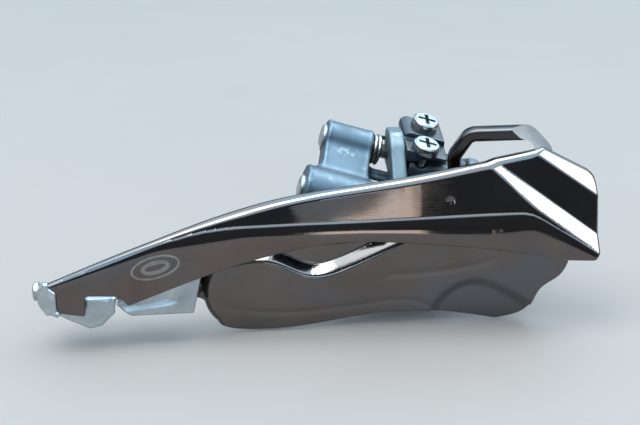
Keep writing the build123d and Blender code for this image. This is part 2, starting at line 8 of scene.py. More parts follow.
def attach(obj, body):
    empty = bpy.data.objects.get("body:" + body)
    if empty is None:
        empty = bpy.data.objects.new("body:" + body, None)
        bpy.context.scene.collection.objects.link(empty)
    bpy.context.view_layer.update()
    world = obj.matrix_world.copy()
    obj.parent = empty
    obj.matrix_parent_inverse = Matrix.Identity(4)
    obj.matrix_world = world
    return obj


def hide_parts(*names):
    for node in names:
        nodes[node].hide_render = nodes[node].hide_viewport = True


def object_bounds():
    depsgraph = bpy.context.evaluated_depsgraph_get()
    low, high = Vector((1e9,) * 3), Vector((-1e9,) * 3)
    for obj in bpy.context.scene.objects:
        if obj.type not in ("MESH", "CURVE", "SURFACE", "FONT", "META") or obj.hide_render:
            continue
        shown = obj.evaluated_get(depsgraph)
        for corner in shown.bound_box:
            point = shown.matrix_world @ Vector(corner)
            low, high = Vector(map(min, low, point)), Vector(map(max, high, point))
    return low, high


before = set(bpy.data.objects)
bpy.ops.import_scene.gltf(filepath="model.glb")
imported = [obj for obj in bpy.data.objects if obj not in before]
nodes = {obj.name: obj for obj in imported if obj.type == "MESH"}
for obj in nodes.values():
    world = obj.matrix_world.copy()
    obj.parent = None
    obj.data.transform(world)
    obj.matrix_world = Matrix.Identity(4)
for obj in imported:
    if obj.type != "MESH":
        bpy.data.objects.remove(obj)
cad_low, cad_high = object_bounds()
MM = 0.001


# ------------------------------------------------------------------ curves and distances, in millimetres
PER_SEGMENT = 14


def through(points, per_segment=PER_SEGMENT):
    """Natural cubic spline through the points, as a dense polyline."""
    p = np.array(points, float)
    t = np.concatenate(([0], np.cumsum(np.hypot(*np.diff(p, axis=0).T))))
    gaps = np.diff(t)
    system = np.eye(len(p))
    right = np.zeros_like(p)
    for i in range(1, len(p) - 1):
        system[i, i - 1:i + 2] = gaps[i - 1], 2 * (gaps[i - 1] + gaps[i]), gaps[i]
        right[i] = 6 * ((p[i + 1] - p[i]) / gaps[i] - (p[i] - p[i - 1]) / gaps[i - 1])
    bend = np.linalg.solve(system, right)
    found = []
    for i, gap in enumerate(gaps):
        for share in np.linspace(0, 1, per_segment, endpoint=False):
            a, b = 1 - share, share
            found.append(a * p[i] + b * p[i + 1]
                         + ((a**3 - a) * bend[i] + (b**3 - b) * bend[i + 1]) * gap**2 / 6)
    return found + [p[-1]]


def closed_outline(points, step, softness):
    """The closed polygon at even steps, with its corners eased over about softness."""
    p = np.array(points, float)
    ring = np.vstack([p, p[:1]])
    t = np.concatenate(([0], np.cumsum(np.hypot(*np.diff(ring, axis=0).T))))
    count = int(t[-1] / step)
    at = np.linspace(0, t[-1], count, endpoint=False)
    even = np.column_stack([np.interp(at, t, ring[:, k]) for k in (0, 1)])
    reach = int(3 * softness / step) + 1
    weights = np.exp(-0.5 * (np.arange(-reach, reach + 1) * step / softness) ** 2)
    weights /= weights.sum()
    return sum(w * np.roll(even, k, axis=0) for k, w in zip(range(-reach, reach + 1), weights))


def edge_distance(points, outline):
    """Distance of each point to the closed outline, and the nearest place on it."""
    a = outline
    along = np.roll(outline, -1, axis=0) - a
    length2 = np.maximum((along**2).sum(1), 1e-12)
    distance, nearest = np.zeros(len(points)), np.zeros_like(points)
    batch = 2000
    for start in range(0, len(points), batch):
        p = points[start:start + batch]
        share = ((p[:, None] - a[None]) * along[None]).sum(2) / length2
        foot = a[None] + np.clip(share, 0, 1)[..., None] * along[None]
        d = np.hypot(*np.moveaxis(p[:, None] - foot, 2, 0))
        best = d.argmin(1)
        rows = np.arange(len(p))
        distance[start:start + batch] = d[rows, best]
        nearest[start:start + batch] = foot[rows, best]
    return distance, nearest


def inside(points, outline):
    """Whether each point is inside the closed outline."""
    a, b = outline, np.roll(outline, -1, axis=0)
    found = np.zeros(len(points), bool)
    for (ax, az), (bx, bz) in zip(a, b):
        if az == bz:
            continue
        crosses = (az > points[:, 1]) != (bz > points[:, 1])
        found ^= crosses & (points[:, 0] < (bx - ax) * (points[:, 1] - az) / (bz - az) + ax)
    return found


def soft_max(a, b, width):
    """The larger of two heights, with the fold between them eased."""
    overlap = np.maximum(width - np.abs(a - b), 0) / width
    return np.maximum(a, b) + overlap**2 * width / 4


def soft_min(a, b, width):
    """The smaller of two heights, with the fold between them eased."""
    return -soft_max(-a, -b, width)


def smooth(x, start, end):
    """0 before start, 1 after end, eased between."""
    t = np.clip((x - start) / (end - start), 0, 1)
    return t * t * (3 - 2 * t)


# ------------------------------------------------------------------ pieces
def place(name, mesh, body, material, stands_for=()):
    """Makes a piece of a mesh in metres, on its body, with its finish."""
    piece = bpy.data.objects.new(name, mesh)
    bpy.context.scene.collection.objects.link(piece)
    mesh.materials.clear()
    mesh.materials.append(material)
    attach(piece, body)
    if stands_for:
        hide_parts(*stands_for)


def cast_piece(node, body, material, voxel, pushes, passes):
    """Casting over a CAD node, skinned with voxels of that size and eased by a number of passes.
    A push out and back in fills inside corners, and one in and back out rounds edges."""
    piece = bpy.data.objects.new(node + "_casting", nodes[node].data.copy())
    bpy.context.scene.collection.objects.link(piece)

    def skin():
        remesh = piece.modifiers.new("skin", "REMESH")
        remesh.mode = "VOXEL"
        remesh.voxel_size = voxel * MM
        remesh.use_smooth_shade = True

    def ease(count):
        smoothing = piece.modifiers.new("ease", "SMOOTH")
        smoothing.factor = 0.5
        smoothing.iterations = count

    skin()
    ease(2)
    for distance in pushes:
        push = piece.modifiers.new("push", "DISPLACE")
        push.strength = distance * MM
        push.mid_level = 0
        skin()
        ease(2)
    ease(passes)
    graph = bpy.context.evaluated_depsgraph_get()
    mesh = bpy.data.meshes.new_from_object(piece.evaluated_get(graph))
    bpy.data.objects.remove(piece)
    for polygon in mesh.polygons:
        polygon.use_smooth = True
    place(node + "_casting", mesh, body, material, [node])


def broken_edges(node, width, least_angle=35):
    """Breaks the edges of a turned or stamped CAD node where it turns by least_angle degrees or more."""
    weld = nodes[node].modifiers.new("weld", "WELD")
    weld.merge_threshold = 0.002 * MM
    bevel = nodes[node].modifiers.new("edge_break", "BEVEL")
    bevel.width = width * MM
    bevel.segments = 2
    bevel.limit_method = "ANGLE"
    bevel.angle_limit = math.radians(least_angle)
    bevel.harden_normals = True


def inward_normals(outline):
    """Unit vectors that point into a closed outline, one for each of its points."""
    along = np.roll(outline, -1, axis=0) - np.roll(outline, 1, axis=0)
    along /= np.hypot(*along.T)[:, None]
    inward = np.column_stack([-along[:, 1], along[:, 0]])
    return inward if inside(outline[:1] + 0.01 * inward[:1], outline)[0] else -inward


def sheet_points(outline, inward, insets, edge, spacing, rows):
    """Points of a flat sheet: its outline, rings at the insets, a grid, and rows along its folds."""
    rings = []
    for inset in insets:
        ring = outline + inset * inward
        d, _ = edge_distance(ring, outline)
        rings.append(ring[(np.abs(d - inset) < 0.06 * inset + 0.01) & inside(ring, outline)])
    low, high = outline.min(0), outline.max(0)
    grid = np.stack(np.meshgrid(*(np.arange(low[k], high[k], spacing) for k in (0, 1))), -1).reshape(-1, 2)
    fold_points = np.vstack([np.array(row, float) for row in rows] or [grid[:0]])
    inner_points = []
    for candidates, margin in ((grid, insets[-1] + 0.2), (fold_points, edge + 0.15)):
        candidates = candidates[inside(candidates, outline)]
        d, _ = edge_distance(candidates, outline)
        inner_points.append(candidates[d > margin])
    return np.vstack([outline] + rings + inner_points)


def flat_mesh(points, count):
    """Triangles over points whose first count are the outline, and the outline in the mesh's numbers."""
    loop = [(i, (i + 1) % count) for i in range(count)]
    flat, _, triangles, origins, _, _ = geometry.delaunay_2d_cdt(
        [Vector(p) for p in points], loop, [], 1, 1e-5)
    rim = {}
    for i, sources in enumerate(origins):
        for source in sources:
            if source < count:
                rim[source] = i
    return np.array([tuple(p) for p in flat]), triangles, [rim[i] for i in range(count)]


def cross(a, b):
    """Which way b turns from a: above 0 to the left."""
    return a[0] * b[1] - a[1] * b[0]


def pressed_sheet(name, outline, face, thickness, edge, lip_at=None, spacing=0.55, rows=()):
    """Closed mesh of sheet metal. Its front is y = face(x, z), with rounded edges, and its back is one
    thickness behind. lip_at(x, z) gives how far the edge there rolls inwards. rows are lines of points
    laid along folds."""
    inward = inward_normals(outline)
    insets = edge * (1 - np.cos(np.radians([22, 45, 67, 90])))
    if lip_at is not None:
        insets = np.concatenate([insets, (0.9, 1.3, 1.7, 2.1, 2.6)])
    count = len(outline)
    points = sheet_points(outline, inward, insets, edge, spacing, rows)
    flat, triangles, rim = flat_mesh(points, count)

    d, nearest = edge_distance(flat, outline)
    away = flat - nearest
    away[rim] = inward
    d[rim] = 0
    away /= np.maximum(np.hypot(*away.T), 1e-9)[:, None]
    x, z = flat.T
    step = 0.02
    slope_x = (face(x + step, z) - face(x - step, z)) / (2 * step)
    slope_z = (face(x, z + step) - face(x, z - step)) / (2 * step)
    height = face(x, z)
    lip = np.zeros(len(flat)) if lip_at is None else lip_at(*nearest.T)

    def rounding(radius):
        """How far the surface falls back near the edge, and its slope away from the edge."""
        drop = np.clip(radius - d, 0, radius)
        fall = np.sqrt(np.maximum(radius**2 - drop**2, 1e-12))
        return radius - fall, -drop / np.maximum(fall, 1e-4 * radius)

    def normals(rate, sign):
        n = np.column_stack([slope_x + rate * away[:, 0], -np.ones(len(flat)), slope_z + rate * away[:, 1]])
        return sign * n / np.linalg.norm(n, axis=1)[:, None]

    def curl(distance):
        """How much of the lip the back follows, at that distance from the edge."""
        return 1 - smooth(distance, 0.75 * thickness, 0.9 * thickness + 0.9 * lip + 0.3)

    front_drop, front_rate = rounding(edge + lip)
    back_drop, back_rate = rounding(np.full(len(flat), edge))
    curl_step = 0.05
    curl_rate = lip * (curl(d + curl_step) - curl(d)) / curl_step
    front = np.column_stack([x, height + front_drop, z])
    back = np.column_stack([x, height + thickness - back_drop + lip * curl(d), z])
    front_n = normals(front_rate, 1)
    back_n = normals(-back_rate + curl_rate, -1)

    offset = len(flat)
    faces = []
    for a, b, c in triangles:
        if cross(flat[b] - flat[a], flat[c] - flat[a]) < 0:
            b, c = c, b
        faces += [(a, b, c), (a + offset, c + offset, b + offset)]
    clockwise = cross(outline.T, np.roll(outline, -1, axis=0).T).sum() < 0
    for i in range(count):
        a, b = rim[i], rim[(i + 1) % count]
        if clockwise:
            a, b = b, a
        faces.append((b, a, a + offset, b + offset))
    mesh = bpy.data.meshes.new(name)
    mesh.from_pydata((np.vstack([front, back]) * MM).tolist(), [], faces)
    mesh.update()
    for polygon in mesh.polygons:
        polygon.use_smooth = True
    mesh.normals_split_custom_set_from_vertices(np.vstack([front_n, back_n]).tolist())
    return mesh


# ------------------------------------------------------------------ materials
class Paint:
    """A node material: helpers add nodes and join them, and shader is its Principled BSDF."""

    def __init__(self, name):
        self.material = bpy.data.materials.new(name)
        self.material.use_nodes = True
        self.tree = self.material.node_tree
        self.shader = self.tree.nodes["Principled BSDF"]
        self.place = self.node("ShaderNodeTexCoord").outputs["Object"]

    def node(self, kind, **values):
        """A new node with those attributes."""
        made = self.tree.nodes.new(kind)
        for key, value in values.items():
            setattr(made, key, value)
        return made

    def link(self, source, target):
        """Joins an output to an input."""
        self.tree.links.new(source, target)

    def stretched(self, x, y, z):
        """Coordinates in millimetres, divided by the size of the detail along each axis."""
        mapping = self.node("ShaderNodeMapping")
        self.link(self.place, mapping.inputs["Vector"])
        mapping.inputs["Scale"].default_value = (1 / (x * MM), 1 / (y * MM), 1 / (z * MM))
        return mapping.outputs["Vector"]

    def noise(self, size, detail=3.0, rough=0.55):
        """Noise from 0 to 1 with features of about size millimetres, one number or one per axis."""
        sizes = size if isinstance(size, tuple) else (size, size, size)
        made = self.node("ShaderNodeTexNoise")
        self.link(self.stretched(*sizes), made.inputs["Vector"])
        made.inputs["Scale"].default_value = 1.0
        made.inputs["Detail"].default_value = detail
        made.inputs["Roughness"].default_value = rough
        return made.outputs["Fac"]

    def ramp(self, source, *stops):
        """Colours or grey values along source, as (position, value)."""
        made = self.node("ShaderNodeValToRGB")
        while len(made.color_ramp.elements) < len(stops):
            made.color_ramp.elements.new(0.5)
        for element, (position, value) in zip(made.color_ramp.elements, stops):
            element.position = position
            element.color = (*value, 1) if isinstance(value, tuple) else (value, value, value, 1)
        self.link(source, made.inputs["Fac"])
        return made.outputs["Color"]

    def mix(self, share, a, b, blend="MIX"):
        """Colour between a and b by share. Each of them is a socket, a colour or a number."""
        made = self.node("ShaderNodeMix", data_type="RGBA", blend_type=blend)
        for socket, value in ((made.inputs["Factor"], share), (made.inputs["A"], a), (made.inputs["B"], b)):
            if isinstance(value, bpy.types.NodeSocket):
                self.link(value, socket)
            elif isinstance(value, tuple):
                socket.default_value = (*value, 1)
            else:
                socket.default_value = value
        return made.outputs["Result"]

    def bump(self, height, strength, distance, under=None):
        """Normal of a relief of about distance millimetres, on top of the relief under it."""
        made = self.node("ShaderNodeBump")
        made.inputs["Strength"].default_value = strength
        made.inputs["Distance"].default_value = distance * MM
        self.link(height, made.inputs["Height"])
        if under is not None:
            self.link(under, made.inputs["Normal"])
        return made.outputs["Normal"]

    def finish(self, colour=None, rough=None, normal=None, **values):
        """Joins the maps to the shader, and sets its constant inputs."""
        for name, source in (("Base Color", colour), ("Roughness", rough), ("Normal", normal)):
            if source is not None:
                self.link(source, self.shader.inputs[name])
        for name, value in values.items():
            self.shader.inputs[name.replace("_", " ")].default_value = value
        return self.material


def polished(name, tint, haze, scratch):
    """Dark chrome plate: a mirror with faint haze, wiping scratches and the odd speck."""
    paint = Paint(name)
    cloud = paint.noise(11.0, 4.0)
    speck = paint.ramp(paint.noise(1.6, 2.0, 0.7), (0.20, 1.0), (0.24, 0.0))
    lines = paint.noise((9.0, 3.0, 0.22), 4.0, 0.7)
    dark = tuple(0.86 * c for c in tint)
    smoke = (0.80 * tint[0], 1.02 * tint[1], 1.20 * tint[2])
    colour = paint.mix(paint.ramp(cloud, (0.35, 0.0), (0.7, 1.0)), dark, tint)
    patches = paint.ramp(paint.noise((34.0, 60.0, 20.0), 2.0), (0.46, 0.0), (0.62, 0.75))
    colour = paint.mix(patches, colour, smoke)
    rough = paint.ramp(cloud, (0.35, haze), (0.70, 1.9 * haze))
    rough = paint.mix(speck, rough, (0.35, 0.35, 0.35))
    normal = paint.bump(lines, scratch, 0.02)
    normal = paint.bump(paint.noise(2.4, 2.0), 0.35 * scratch, 0.05, normal)
    return paint.finish(colour, rough, normal, Metallic=1.0)


def cast_metal(name, colour, worn, rough, grain, metallic):
    """Cast metal: fine grain, cloudy tone, and lighter rubbed places. rough is its range of roughness."""
    paint = Paint(name)
    cloud = paint.noise(5.0, 4.0)
    rub = paint.ramp(paint.noise(3.2, 5.0, 0.65), (0.60, 0.0), (0.74, 1.0))
    deep = tuple(0.78 * c for c in colour)
    base = paint.mix(paint.ramp(cloud, (0.3, 0.0), (0.7, 1.0)), deep, colour)
    base = paint.mix(rub, base, worn)
    rough_map = paint.ramp(cloud, (0.3, rough[1]), (0.7, rough[0]))
    normal = paint.bump(paint.noise(0.45, 3.0, 0.6), grain, 0.05)
    normal = paint.bump(cloud, 0.25, 0.12, normal)
    return paint.finish(base, rough_map, normal, Metallic=metallic)


def moulded(name, colour, rough):
    """Moulded nylon: fine texture and a faint bloom."""
    paint = Paint(name)
    cloud = paint.noise(4.0, 3.0)
    base = paint.ramp(cloud, (0.3, tuple(0.7 * c for c in colour)), (0.75, tuple(1.5 * c for c in colour)))
    rough_map = paint.ramp(paint.noise(1.2, 4.0), (0.3, rough), (0.7, rough + 0.18))
    normal = paint.bump(paint.noise(0.3, 2.0, 0.6), 0.25, 0.04)
    return paint.finish(base, rough_map, normal)


def plated(name, colour, rough, turning):
    """Zinc plate or bare steel on small turned parts. rough is its range of roughness."""
    paint = Paint(name)
    cloud = paint.noise(1.3, 4.0, 0.6)
    base = paint.ramp(cloud, (0.3, tuple(0.62 * c for c in colour)), (0.62, colour))
    rough_map = paint.ramp(cloud, (0.3, rough[1]), (0.65, rough[0]))
    normal = paint.bump(paint.noise(0.35, 3.0), turning, 0.05)
    return paint.finish(base, rough_map, normal, Metallic=1.0)


dark_chrome = polished("dark_chrome", (0.150, 0.122, 0.111), haze=0.04, scratch=0.12)
hazed_chrome = polished("hazed_chrome", (0.155, 0.132, 0.124), haze=0.055, scratch=0.16)
satin_chrome = polished("satin_chrome", (0.072, 0.063, 0.060), haze=0.20, scratch=0.12)
blue_casting = cast_metal(
    "blue_grey_casting", (0.090, 0.135, 0.175), worn=(0.25, 0.31, 0.35), rough=(0.40, 0.56),
    grain=0.22, metallic=0.62)
satin_alloy = cast_metal(
    "satin_alloy", (0.14, 0.18, 0.21), worn=(0.24, 0.28, 0.30), rough=(0.52, 0.66),
    grain=0.25, metallic=0.75)
pale_zinc = cast_metal(
    "cast_zinc", (0.48, 0.53, 0.56), worn=(0.62, 0.66, 0.68), rough=(0.36, 0.52),
    grain=0.45, metallic=1.0)
black_nylon = moulded("black_plastic", (0.020, 0.036, 0.054), rough=0.28)
mark_paint = moulded("mark_paint", (0.26, 0.25, 0.235), rough=0.50)
bush_nylon = moulded("bush_plastic", (0.35, 0.34, 0.31), rough=0.45)
bright_zinc = plated("bright_zinc", (0.34, 0.35, 0.345), rough=(0.20, 0.38), turning=0.35)
pin_steel = plated("pin_steel", (0.44, 0.46, 0.46), rough=(0.32, 0.50), turning=0.25)
spring_steel = plated("spring_steel", (0.36, 0.35, 0.32), rough=(0.16, 0.30), turning=0.15)

finishes = {
    "dark_chrome": dark_chrome, "satin_alloy": satin_alloy, "blue_grey_casting": blue_casting,
    "black_plastic": black_nylon, "bright_zinc": bright_zinc, "pin_steel": pin_steel,
    "spring_steel": spring_steel, "bush_plastic": bush_nylon, "cast_zinc": pale_zinc,
}
node_slots = {
    "cage_bracket": "satin_alloy", "bracket_rivets": "pin_steel", "bridge_loop": "dark_chrome",
    "stop_block": "black_plastic", "low_limit_screw": "bright_zinc", "high_limit_screw": "bright_zinc",
    "outer_link": "blue_grey_casting", "outer_link_bushes": "bush_plastic", "return_spring": "spring_steel",
    "inner_link": "blue_grey_casting", "inner_link_bushes": "bush_plastic", "cable_washer": "pin_steel",
    "cable_bolt": "bright_zinc", "upper_outer_pin": "pin_steel", "upper_inner_pin": "pin_steel",
    "lower_outer_pin": "pin_steel", "lower_inner_pin": "pin_steel", "cage_pin_clips": "spring_steel",
    "mount_pin_clip": "spring_steel", "mount_body": "blue_grey_casting", "clamp_band": "blue_grey_casting",
    "clamp_hinge_pin": "pin_steel", "clamp_washer": "pin_steel", "clamp_bolt": "bright_zinc",
    "tail_bridge": "cast_zinc", "tail_screw": "pin_steel", "tail_insert": "cast_zinc",
}
for node, slot_name in node_slots.items():
    mesh = nodes[node].data
    mesh.materials.clear()
    mesh.materials.append(finishes[slot_name])
# the loop is hazier than the plates
nodes["bridge_loop"].data.materials[0] = satin_chrome

# ------------------------------------------------------------------ outer cage plate
outer_top = [
    (-88.6, 18.0), (-75.5, 23.2), (-52, 31.6), (-28.8, 37.4), (-5.5, 40.3), (13.3, 43.1), (31.0, 45.8)]
outer_nose = [(42.6, 39.6), (43.9, 38.3), (44.4, 36.6), (44.5, 20.9), (43.3, 19.2)]
outer_under = [
    (36.8, 19.6), (19.2, 22.9), (4.0, 24.8), (-8.7, 26.0), (-18.2, 26.2), (-28.9, 25.0), (-40.7, 22.3),
    (-51.4, 18.9), (-69.7, 12.0)]
outer_tail = [(-71.9, 14.6), (-79.6, 14.9), (-79.9, 9.7), (-86.4, 10.9), (-86.4, 16.2)]
outer_face_y = -50.0
outer_thickness = 1.6
outer_outline = closed_outline(
    [*through(outer_top), *outer_nose, *through(outer_under), *outer_tail], step=0.3, softness=0.42)

# the pressed ridge runs along the plate, then down the lower edge of the nose band
# each table gives a value at some places along x: the ridge's height, how far below it the wall rolls
# outwards, how steeply and how far down that is stretched, how many degrees the bevel above the ridge
# leans back, and how hollow it is
ridge_height = [(-90, 17.3), (-75.5, 22.5), (-62, 27.6), (-52, 30.1), (-44, 31.0), (-30, 31.3),
                (10, 31.8), (25, 32.0), (27.2, 31.8), (44.0, 21.4)]
roll_width = [(-90, 1.8), (-76, 2.4), (-64, 3.6), (-52, 6.0), (-40, 4.8), (-14, 5.4), (0, 7.0),
              (10, 8.7), (17, 9.3), (23, 8.7), (28, 7.6), (36, 5.5), (44, 4.2)]
roll_steepness = [(-62, 0.16), (-46, 0.19)]
roll_stretch = [(20, 1.0), (28, 0.83)]
bevel_lean = [(-60, 13.5), (-38, 13.0), (-32, 12.0), (-27, 8.8), (-20, 9.8), (-12, 10.1), (-4, 10.4),
              (8, 10.4), (12, 11.8), (15, 13.3), (32, 13.5)]
bevel_hollow = [(-16, 0.0035), (-4, 0.0010)]
bevel_rise = 0.12
nose_planes = {
    "band": ((15.5, -46.8, 42.2), (0.367, -0.729, 0.578)),
    "panel": ((20.2, -44.3, 42.3), (0.072, -0.979, 0.193)),
    "lip": ((30.2, -43.3, 43.7), (0.357, -0.729, 0.584)),
}
nose_folds = [((13.5, 43.6), (27.0, 32.4)), ((19.0, 44.6), (44.1, 25.1)), ((29.5, 44.2), (44.2, 34.0))]
dimples = [(7.2, 35.0), (-62.9, 18.6), (-54.7, 23.4)]
dimple_r = 0.9
dimple_depth = 0.16


def curve_at(x, table, ease=2.0):
    """A table's value at x, eased over about ease millimetres."""
    at, values = zip(*table)
    return sum(w * np.interp(x + k * ease, at, values) for k, w in ((-1, 0.25), (0, 0.5), (1, 0.25)))


def tilted(x, z, origin, normal):
    """Height y of the plane through origin with that normal."""
    return origin[1] - (normal[0] * (x - origin[0]) + normal[2] * (z - origin[2])) / normal[1]


def outer_face(x, z):
    """Front of the outer plate: rolled lower wall, bevel above the ridge, folded nose and dimples."""
    above = z - curve_at(x, ridge_height)
    below = -above * curve_at(x, roll_stretch)
    width = curve_at(x, roll_width)
    steep = curve_at(x, roll_steepness)
    rolled = steep * np.clip(width - below, 0, width) ** 2 / width
    lower = outer_face_y + rolled + 0.5 * np.clip(0.5 - below, 0, 0.5) ** 2
    lean = np.radians(curve_at(x, bevel_lean, 3.0))
    sunk = curve_at(x, bevel_hollow) * above**2
    bevel = outer_face_y + steep * width + bevel_rise + above * np.tan(lean) - sunk
    wall = np.where(above < 0, lower, bevel)
    band, panel, lip = (tilted(x, z, *plane) for plane in nose_planes.values())
    nose = soft_min(band, soft_max(panel, lip, 0.35), 0.25)
    face = soft_max(wall, nose, 0.30)
    for centre_x, centre_z in dimples:
        distance2 = (x - centre_x) ** 2 + (z - centre_z) ** 2
        face = face + dimple_depth * np.exp(-distance2 / (0.45 * dimple_r**2))
    return face


def rolled_edge(x, z):
    """How far the edge rolls inwards: all along the top, fading at the tail and at the nose fold."""
    top_z = np.interp(x, *zip(*outer_top))
    on_top = smooth(z, top_z - 1.2, top_z - 0.4)
    reach = 0.15 + 0.95 * smooth(x, -66, -36)
    return reach * on_top * smooth(x, -86, -76) * (1 - smooth(x, 27, 31))


def strands(line, offsets):
    """Copies of a line of points, moved sideways by each offset."""
    line = np.array(line, float)
    along = np.gradient(line, axis=0)
    along /= np.hypot(*along.T)[:, None]
    across = np.column_stack([along[:, 1], -along[:, 0]])
    return [line + offset * across for offset in offsets]


ridge_line = [(x, float(curve_at(x, ridge_height))) for x in np.arange(-80, 43.5, 0.4)]
fold_rows = strands(ridge_line, (-0.5, -0.3, -0.15, 0, 0.15, 0.35, 0.6, 0.9))
for start, end in nose_folds:
    fold_rows += strands(np.linspace(start, end, 70), (-0.9, -0.6, -0.35, -0.15, 0, 0.15, 0.35, 0.6, 0.9))
for centre in dimples:
    for radius in (0.001, 0.25, 0.5, 0.75, 1.0, 1.3):
        turn = np.linspace(0, 2 * math.pi, 13)[:-1] + radius
        fold_rows.append(np.array(centre) + radius * np.column_stack([np.cos(turn), np.sin(turn)]))

outer_mesh = pressed_sheet("outer_plate_sheet", outer_outline, outer_face, outer_thickness, edge=0.55,
                           lip_at=rolled_edge, spacing=0.6, rows=fold_rows)
place("outer_plate_sheet", outer_mesh, "cage", dark_chrome, ["outer_plate"])

# ------------------------------------------------------------------ plain raised oval on the tail
def raised_band(name, centre, radii, tilt, width, height):
    """Closed oval band that stands a little proud of the outer plate."""
    section = [(-0.5, -0.6), (-0.5, 0.6), (-0.25, 1.0), (0.25, 1.0), (0.5, 0.6), (0.5, -0.6)]
    count = 96
    turn = np.linspace(0, 2 * math.pi, count, endpoint=False)
    points = []
    for across, rise in section:
        u = (radii[0] + across * width) * np.cos(turn)
        v = (radii[1] + across * width) * np.sin(turn)
        x = centre[0] + u * math.cos(tilt) - v * math.sin(tilt)
        z = centre[1] + u * math.sin(tilt) + v * math.cos(tilt)
        points.append(np.column_stack([x, outer_face(x, z) - rise * height, z]))
    faces = []
    for k in range(len(section)):
        for i in range(count):
            a, b = k * count, (k + 1) % len(section) * count
            j = (i + 1) % count
            faces.append((a + i, a + j, b + j, b + i))
    mesh = bpy.data.meshes.new(name)
    mesh.from_pydata((np.vstack(points) * MM).tolist(), [], faces)
    mesh.update()
    return mesh


oval_centre = (-62.9, 21.8)
oval_tilt = math.radians(15)
oval_height = 0.06
for name, radii, width in (("oval_outer", (5.7, 2.6), 0.5), ("oval_inner", (3.0, 1.2), 1.0)):
    oval = raised_band(name, oval_centre, radii, oval_tilt, width, oval_height)
    place(name, oval, "cage", mark_paint)

# ------------------------------------------------------------------ inner cage plate
web_y = -37.4
lobe_y = -40.5
inner_thickness = 1.4
shoulder_slope = [(-27, 1.30), (-20, 1.17)]
shoulder_start = 1.25
lobe_left = [(-50.2, 17.0), (-51.8, 12.5), (-51.6, 7.0), (-48.5, 2.2)]
lobe_sole = [(-41.0, 0.3), (-28.3, 0.6), (-8.1, 3.4), (7.2, 2.9), (21.5, 0.3)]
lobe_nose = [(21.5, 0.3), (30.3, 3.7), (32.6, 8.2), (37.3, 11.7), (40.0, 17.5)]
lobe_crown = [
    (-50.2, 17.0), (-44.5, 18.8), (-34.3, 18.9), (-25.7, 15.2), (-16.5, 17.2), (-7.0, 21.6), (4.0, 26.5)]
web_front = [(38.0, 30.0), (37.6, 33.0), (31.0, 42.5), (13.0, 39.2), (-6.3, 35.6), (-10.4, 22.0)]
web_tail = [(-45.0, 20.0), (-60.0, 18.0), (-86.0, 13.2), (-86.0, 9.5), (-70.0, 8.0), (-51.7, 8.0)]
lobe_rim = through([*lobe_left, *lobe_sole])
rear_rim = lobe_rim[:(len(lobe_left) - 1) * PER_SEGMENT]
web_meets_rim = 26
inner_outline = closed_outline(
    [*lobe_rim[web_meets_rim:], *through(lobe_nose), *web_front, *web_tail], step=0.3, softness=0.3)
# the lobe's share of the plate, which runs on past the free edges
past_nose = [(60.0, 34.0), (60.0, -20.0)]
past_sole = [(-41.0, -20.0), (-53.0, -10.0)]
lobe_region = np.array([*through(lobe_crown), *past_nose, *past_sole, *rear_rim[::-1]])
# shallow pressings in the lobe: an arch near the nose, a crease, and a line along the sole
arch_line = np.array(through(
    [(3.6, -2.0), (4.7, 1.2), (6.1, 4.8), (9.5, 8.8), (15.8, 11.0), (22.3, 8.8), (29.5, 4.2)]))
arch_depth = 0.90
crease_line = np.array(through([(-6.0, 13.6), (3.0, 13.9), (12.1, 14.9), (20.0, 16.6)]))
crease_depth, crease_width = 0.16, 0.8
sole_line = np.array(through(
    [(-46.0, 6.6), (-38.0, 5.0), (-28.2, 4.7), (-8.0, 6.6), (1.0, 6.4), (5.5, 4.2)]))
sole_depth, sole_width = 0.10, 0.7


def line_distance(points, line):
    """Distance of each point to an open line, positive on its left."""
    d, nearest = edge_distance(points, np.vstack([line, line[::-1]]))
    along = np.gradient(line, axis=0)
    which = ((nearest[:, None] - line[None])**2).sum(2).argmin(1)
    side = along[which, 0] * (points - nearest)[:, 1] - along[which, 1] * (points - nearest)[:, 0]
    return np.where(side >= 0, d, -d)


def inner_face(x, z):
    """Front surface of the inner plate: the web, and the lobe that stands out of it in a shoulder."""
    shape = x.shape
    points = np.column_stack([np.ravel(x), np.ravel(z)])
    d, _ = edge_distance(points, lobe_region)
    d = np.where(inside(points, lobe_region), d, -d).reshape(shape)
    slope = web_y - curve_at(x, shoulder_slope) * (d + shoulder_start)
    shoulder = soft_max(soft_min(slope, web_y, 0.30), lobe_y, 0.55)
    arch = line_distance(points, arch_line).reshape(shape)
    crease = line_distance(points, crease_line).reshape(shape)
    sole = line_distance(points, sole_line).reshape(shape)
    pressed = (arch_depth * smooth(arch, 1.5, -1.5)
               + crease_depth * np.exp(-(crease / crease_width) ** 2)
               + sole_depth * np.exp(-(sole / sole_width) ** 2))
    return shoulder + pressed * smooth(d, 2.0, 4.0)


lobe_rows = strands(
    through(lobe_crown, 24), (-2.2, -1.8, -1.4, -1.0, -0.7, -0.4, -0.1, 0.2, 0.5, 0.8, 1.1, 1.4, 1.8, 2.3))
lobe_rows += strands(arch_line, (-1.2, -0.8, -0.4, 0, 0.4, 0.8, 1.2))
lobe_rows += strands(crease_line, (-1.4, -0.9, -0.45, 0, 0.45, 0.9, 1.4))
lobe_rows += strands(sole_line, (-1.4, -0.9, -0.45, 0, 0.45, 0.9, 1.4))
lobe_rows += strands(rear_rim, (-0.4, -0.8, -1.2, -1.6, -2.0, -2.5))

inner_mesh = pressed_sheet("inner_plate_sheet", inner_outline, inner_face, inner_thickness, edge=0.5,
                           spacing=0.7, rows=lobe_rows)
place("inner_plate_sheet", inner_mesh, "cage", hazed_chrome, ["inner_plate"])

